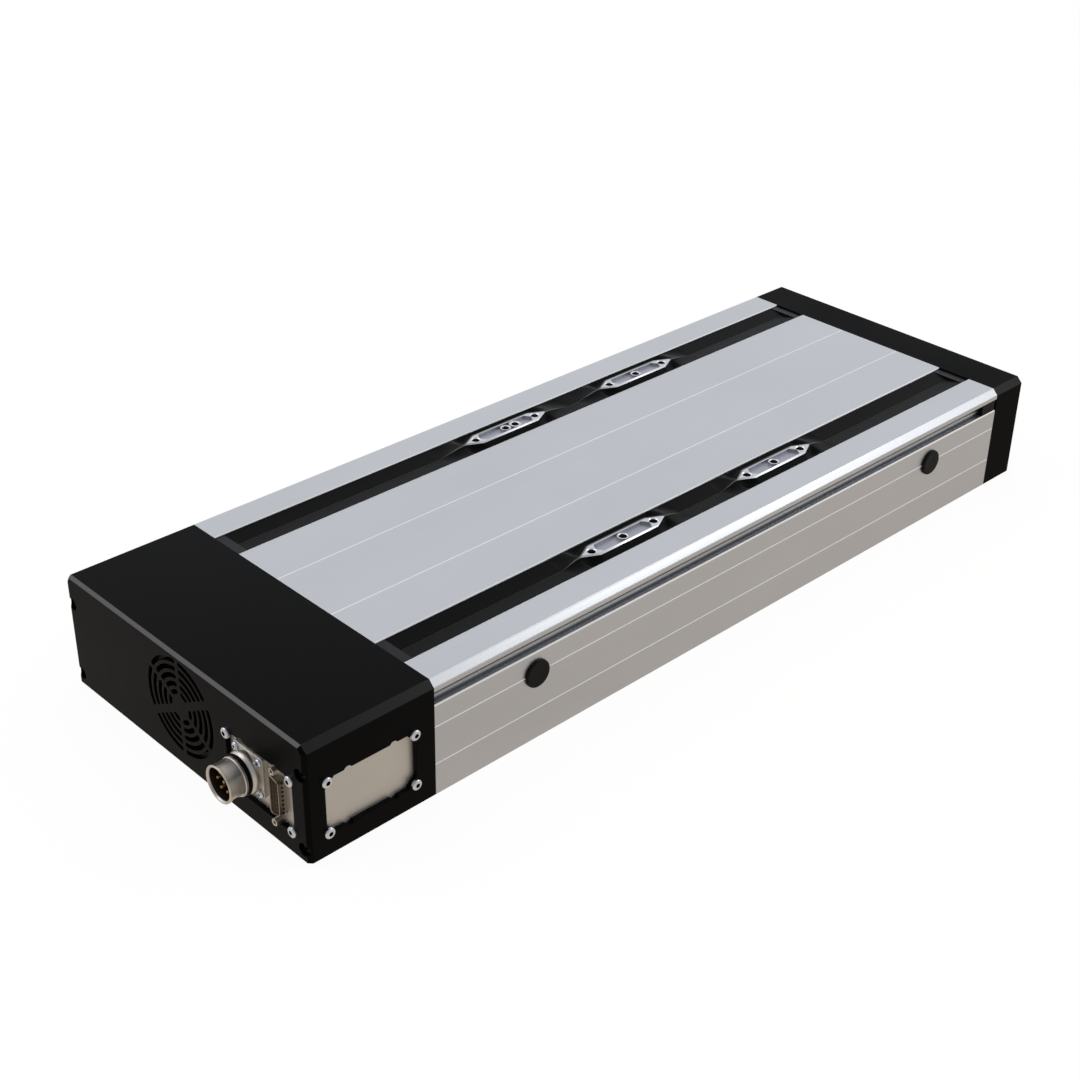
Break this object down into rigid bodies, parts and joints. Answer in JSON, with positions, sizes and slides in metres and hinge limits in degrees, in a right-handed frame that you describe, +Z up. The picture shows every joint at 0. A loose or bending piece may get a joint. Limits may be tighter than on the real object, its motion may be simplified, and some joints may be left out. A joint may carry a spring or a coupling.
{
  "type": "spindle-driven linear unit",
  "caption": "Flat linear unit in an aluminium profile: shoes on a hidden carriage stand out of lip-sealed slots, with motor, fan and connectors in a black end cover.",
  "frame": {"origin": "middle of the base profile's length, at the centre of its underside", "axes": "+X along the unit, away from the motor; +Y across it, away from the side with the connectors; +Z up"},
  "size_m": [0.658, 0.229, 0.076],
  "materials": {
    "profile": "natural anodised, satin",
    "black_cover": "black anodised, satin",
    "bare_plate": "fine matte",
    "steel": "ground",
    "carrier": "milled",
    "slide_body": "ground",
    "shoe": "milled, natural anodised",
    "black_plastic": "matte",
    "motor_paint": "satin",
    "nickel": "nickel plated",
    "insert": "matte",
    "contact": "gold plated",
    "lip_rubber": "matte",
    "clamp_metal": "satin",
    "board": "lacquered"
  },
  "bodies": {
    "frame": {"base_profile": "profile", "cover_profile": "profile", "motor_cover": "black_cover", "end_cap": "black_cover", "side_cover_plate": "bare_plate", "connector_plate": "bare_plate", "guide_shafts": "steel", "spindle_bearings": "steel", "jack_posts": "steel", "motor_plate": "carrier", "bearing_housing": "carrier", "board_standoffs": "carrier", "fan_frame": "black_plastic", "side_plugs": "black_plastic", "groove_plugs": "black_plastic", "reference_sensors": "black_plastic", "motor_stator": "motor_paint", "power_connector_shell": "nickel", "data_connector_shell": "nickel", "power_connector_insert": "insert", "data_connector_insert": "insert", "power_connector_pins": "contact", "data_contacts": "contact", "seal_lip_near_inner": "lip_rubber", "seal_lip_near_outer": "lip_rubber", "seal_lip_far_inner": "lip_rubber", "seal_lip_far_outer": "lip_rubber", "lip_clamps": "clamp_metal", "controller_board": "board"},
    "carriage": {"carriage_plate": "carrier", "nut_housing": "carrier", "ball_nut": "steel", "slide_end_caps": "black_plastic", "switch_cam": "clamp_metal", "shaft_slide_near_1": "slide_body", "shaft_slide_near_2": "slide_body", "shaft_slide_far_1": "slide_body", "shaft_slide_far_2": "slide_body", "carriage_shoe_near_1": "shoe", "carriage_shoe_near_2": "shoe", "carriage_shoe_far_1": "shoe", "carriage_shoe_far_2": "shoe"},
    "spindle": {"spindle": "steel", "motor_rotor": "steel", "shaft_coupling": "carrier", "lock_nut": "steel"},
    "fan": {"fan_rotor": "black_plastic"}
  },
  "joints": [
    {"name": "carriage_slide", "type": "slide", "parent": "frame", "child": "carriage", "axis": [1, 0, 0], "range_m": [-0.115, 0.105], "deforming": ["seal_lip_near_inner", "seal_lip_near_outer", "seal_lip_far_inner", "seal_lip_far_outer"]},
    {"name": "spindle_spin", "type": "hinge", "parent": "frame", "child": "spindle", "pos_m": [0, 0, 0.034], "axis": [1, 0, 0], "range_deg": [-3780, 4140]},
    {"name": "fan_spin", "type": "hinge", "parent": "frame", "child": "fan", "pos_m": [-0.337, 0, 0.0405], "axis": [1, 0, 0], "continuous": true}
  ],
  "couplings": [
    {"joint": "spindle_spin", "follows": "carriage_slide", "rad_per_m": -628.32}
  ]
}
